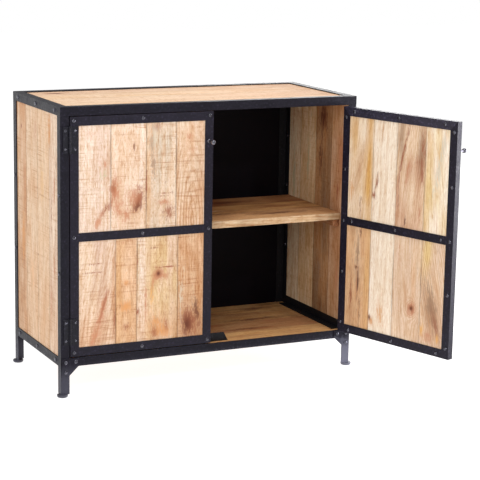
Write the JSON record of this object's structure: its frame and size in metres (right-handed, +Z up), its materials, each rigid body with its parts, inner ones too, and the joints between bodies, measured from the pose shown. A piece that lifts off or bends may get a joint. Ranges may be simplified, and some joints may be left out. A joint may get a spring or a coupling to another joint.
{
  "type": "sideboard buffet",
  "caption": "Low cabinet with a riveted angle-iron frame, solid board panels, an inner shelf and hinged framed board doors, standing on short legs.",
  "frame": {"origin": "on the floor under the middle of the cabinet's iron frame", "axes": "+Z up, +X to the right seen from the front, +Y from the front to the back; the doors are on the -Y side"},
  "size_m": [1.0349, 0.822, 0.8],
  "materials": {
    "frame_iron": "blackened angle iron, semi-gloss, slightly uneven",
    "inner_iron": "black paint, matt",
    "foot_iron": "blackened iron with worn edges",
    "door_iron": "blackened sheet channel, semi-gloss",
    "rivets": "hammered black heads, polished on top",
    "hinge_iron": "blackened steel, semi-gloss",
    "knob_iron": "dark turned iron, polished",
    "carcass_boards": "rough-sawn pale hardwood, matt lacquer",
    "door_boards": "sawn pale hardwood with brown figure and knots, matt lacquer",
    "inside_boards": "sawn hardwood, matt",
    "back_board": "black painted board, matt"
  },
  "bodies": {
    "cabinet": {"front_left_post": "frame_iron", "front_right_post": "frame_iron", "back_right_post": "frame_iron", "back_left_post": "frame_iron", "top_front_rail": "frame_iron", "top_right_rail": "frame_iron", "top_back_rail": "frame_iron", "top_left_rail": "frame_iron", "bottom_front_rail": "frame_iron", "bottom_right_rail": "frame_iron", "bottom_back_rail": "frame_iron", "bottom_left_rail": "frame_iron", "front_left_gusset": "frame_iron", "front_right_gusset": "frame_iron", "left_floor_iron": "inner_iron", "right_floor_iron": "inner_iron", "left_back_iron": "inner_iron", "right_back_iron": "inner_iron", "front_left_foot": "foot_iron", "front_right_foot": "foot_iron", "back_right_foot": "foot_iron", "back_left_foot": "foot_iron", "top_boards": "carcass_boards", "left_side_boards": "carcass_boards", "right_side_boards": "carcass_boards", "floor_boards": "inside_boards", "shelf_boards": "inside_boards", "left_shelf_cleat": "inside_boards", "right_shelf_cleat": "inside_boards", "back_panel": "back_board", "door_stop": "inner_iron", "frame_rivets": "rivets", "hinge_post_rivets": "rivets", "left_post_leaves": "hinge_iron", "right_post_leaves": "hinge_iron", "left_hinge_pins": "hinge_iron", "right_hinge_pins": "hinge_iron"},
    "left_door": {"left_door_hinge_stile": "door_iron", "left_door_meeting_stile": "door_iron", "left_door_top_channel": "door_iron", "left_door_bottom_channel": "door_iron", "left_door_crossbar": "door_iron", "left_door_upper_boards": "door_boards", "left_door_lower_boards": "door_boards", "left_door_rivets": "rivets", "left_door_knob": "knob_iron", "left_door_leaves": "hinge_iron"},
    "right_door": {"right_door_hinge_stile": "door_iron", "right_door_meeting_stile": "door_iron", "right_door_top_channel": "door_iron", "right_door_bottom_channel": "door_iron", "right_door_crossbar": "door_iron", "right_door_upper_boards": "door_boards", "right_door_lower_boards": "door_boards", "right_door_rivets": "rivets", "right_door_knob": "knob_iron", "right_door_leaves": "hinge_iron"}
  },
  "joints": [
    {"name": "left_door_hinge", "type": "hinge", "parent": "cabinet", "child": "left_door", "pos_m": [-0.42375, -0.2038, 0.45], "axis": [0, 0, -1], "range_deg": [0, 165]},
    {"name": "right_door_hinge", "type": "hinge", "parent": "cabinet", "child": "right_door", "pos_m": [0.42375, -0.2038, 0.45], "axis": [0, 0, 1], "range_deg": [-107.5, 57.5]}
  ]
}
